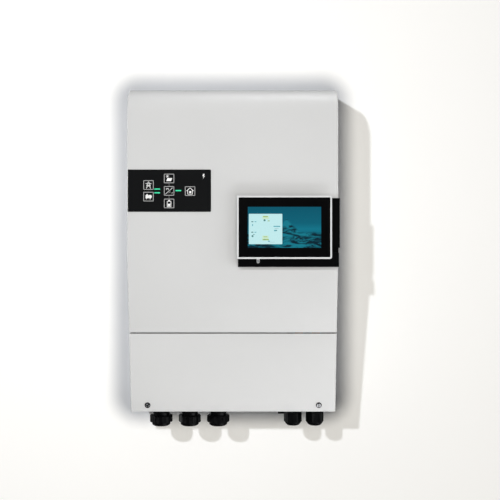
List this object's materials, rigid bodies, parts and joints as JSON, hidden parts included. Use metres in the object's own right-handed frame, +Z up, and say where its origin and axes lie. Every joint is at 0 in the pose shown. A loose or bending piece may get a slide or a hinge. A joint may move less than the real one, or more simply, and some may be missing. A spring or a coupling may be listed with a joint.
{
  "type": "wall-mounted hybrid inverter",
  "caption": "White sheet-metal inverter that hooks on a wall plate, with a hinged connection cover, cable glands, a status panel and a touch display.",
  "frame": {"origin": "centre of the wall plate's four fixing holes, on the wall plane", "axes": "+Z up, +Y into the wall, +X to the right as seen from in front; the case stands at negative Y"},
  "size_m": [0.4557, 0.2515, 0.7678],
  "materials": {
    "white_paint": "fine satin powder coat",
    "galvanised": "zinc coated sheet",
    "raw_aluminium": "extruded",
    "zinc_screw": "zinc plated",
    "dark_nickel": "dark nickel plate",
    "black_paint": "satin powder coat",
    "black_plastic": "moulded polyamide",
    "black_rubber": "soft",
    "overlay": "printed polyester film",
    "silver_paint": "silver satin",
    "screen_glass": "black printed cover glass, lit screen behind it",
    "board_green": "solder mask",
    "copper": "bare copper",
    "brass_bar": "bare brass",
    "grey_plastic": "moulded",
    "orange_plastic": "moulded",
    "module_plastic": "moulded",
    "capacitor_sleeve": "shrink sleeve",
    "lacquered_winding": "enamelled winding",
    "nylon": "natural nylon",
    "light_guide": "clear green",
    "fibre_panel": "grey coat"
  },
  "bodies": {
    "wall_plate": {"wall_plate": "galvanised"},
    "case": {"hanger_rails": "galvanised", "wall_buffers": "black_rubber", "chassis": "galvanised", "gland_plate": "galvanised", "upper_cover": "white_paint", "upper_cover_screws": "zinc_screw", "partition": "fibre_panel", "cover_gasket": "black_rubber", "hinge_pins": "zinc_screw", "heat_sink": "raw_aluminium", "fan_frames": "black_plastic", "fan_guards": "zinc_screw", "power_board": "board_green", "power_modules": "module_plastic", "dc_capacitors": "capacitor_sleeve", "filter_chokes": "lacquered_winding", "transformers": "module_plastic", "relays": "module_plastic", "control_board": "board_green", "control_parts": "module_plastic", "board_spacers": "nylon", "led_panel": "overlay", "led_board": "board_green", "led_lamps": "light_guide", "dc_busbars": "copper", "battery_block": "black_plastic", "battery_bolts": "zinc_screw", "ac_terminals": "grey_plastic", "pv_terminals": "orange_plastic", "clamp_screws": "zinc_screw", "earth_bar": "brass_bar", "comm_board": "board_green", "comm_jacks": "black_plastic", "gland_bodies_m40": "black_plastic", "gland_bodies_m32": "black_plastic", "gland_locknuts": "black_plastic", "gland_seals": "black_rubber", "signal_entry": "black_plastic", "signal_grommets": "black_rubber", "display_bracket": "black_paint", "bracket_screws": "dark_nickel"},
    "fan_impeller_1": {"fan_impeller_1": "black_plastic"},
    "fan_impeller_2": {"fan_impeller_2": "black_plastic"},
    "fan_impeller_3": {"fan_impeller_3": "black_plastic"},
    "gland_nut_1": {"gland_nut_1": "black_plastic"},
    "gland_nut_2": {"gland_nut_2": "black_plastic"},
    "gland_nut_3": {"gland_nut_3": "black_plastic"},
    "gland_nut_4": {"gland_nut_4": "black_plastic"},
    "gland_nut_5": {"gland_nut_5": "black_plastic"},
    "lower_cover": {"lower_cover": "white_paint", "screw_retainers": "black_plastic"},
    "cover_screw_left": {"cover_screw_left": "dark_nickel"},
    "cover_screw_right": {"cover_screw_right": "dark_nickel"},
    "display": {"display_frame": "silver_paint", "display_glass": "screen_glass", "display_housing": "black_plastic", "display_lcd": "grey_plastic", "display_board": "board_green"},
    "display_screw": {"display_screw": "zinc_screw"}
  },
  "joints": [
    {"name": "case_lift", "type": "slide", "parent": "wall_plate", "child": "case", "axis": [0, 0, 1], "range_m": [0, 0.02]},
    {"name": "cover_swing", "type": "hinge", "parent": "case", "child": "lower_cover", "pos_m": [0, -0.19267, -0.2035], "axis": [-1, 0, 0], "range_deg": [0, 75]},
    {"name": "cover_screw_left_turn", "type": "hinge", "parent": "lower_cover", "child": "cover_screw_left", "pos_m": [-0.188, -0.17346, -0.3513], "axis": [0, -0.9862, -0.1653], "continuous": true},
    {"name": "cover_screw_right_turn", "type": "hinge", "parent": "lower_cover", "child": "cover_screw_right", "pos_m": [0.188, -0.17346, -0.3513], "axis": [0, -0.9862, -0.1653], "continuous": true},
    {"name": "fan_1_spin", "type": "hinge", "parent": "case", "child": "fan_impeller_1", "pos_m": [-0.12, -0.055, -0.345], "axis": [0, 0, 1], "continuous": true},
    {"name": "fan_2_spin", "type": "hinge", "parent": "case", "child": "fan_impeller_2", "pos_m": [0, -0.055, -0.345], "axis": [0, 0, 1], "continuous": true},
    {"name": "fan_3_spin", "type": "hinge", "parent": "case", "child": "fan_impeller_3", "pos_m": [0.12, -0.055, -0.345], "axis": [0, 0, 1], "continuous": true},
    {"name": "gland_nut_1_turn", "type": "hinge", "parent": "case", "child": "gland_nut_1", "pos_m": [-0.1616, -0.14, -0.39], "axis": [0, 0, -1], "continuous": true},
    {"name": "gland_nut_2_turn", "type": "hinge", "parent": "case", "child": "gland_nut_2", "pos_m": [-0.0979, -0.14, -0.39], "axis": [0, 0, -1], "continuous": true},
    {"name": "gland_nut_3_turn", "type": "hinge", "parent": "case", "child": "gland_nut_3", "pos_m": [-0.0342, -0.14, -0.39], "axis": [0, 0, -1], "continuous": true},
    {"name": "gland_nut_4_turn", "type": "hinge", "parent": "case", "child": "gland_nut_4", "pos_m": [0.1327, -0.14, -0.39], "axis": [0, 0, -1], "continuous": true},
    {"name": "gland_nut_5_turn", "type": "hinge", "parent": "case", "child": "gland_nut_5", "pos_m": [0.1815, -0.14, -0.39], "axis": [0, 0, -1], "continuous": true},
    {"name": "display_lift", "type": "slide", "parent": "case", "child": "display", "axis": [0, 0, 1], "range_m": [0, 0.012]},
    {"name": "display_screw_turn", "type": "hinge", "parent": "display", "child": "display_screw", "pos_m": [0.054, -0.249, -0.034], "axis": [0, -1, 0], "continuous": true}
  ]
}
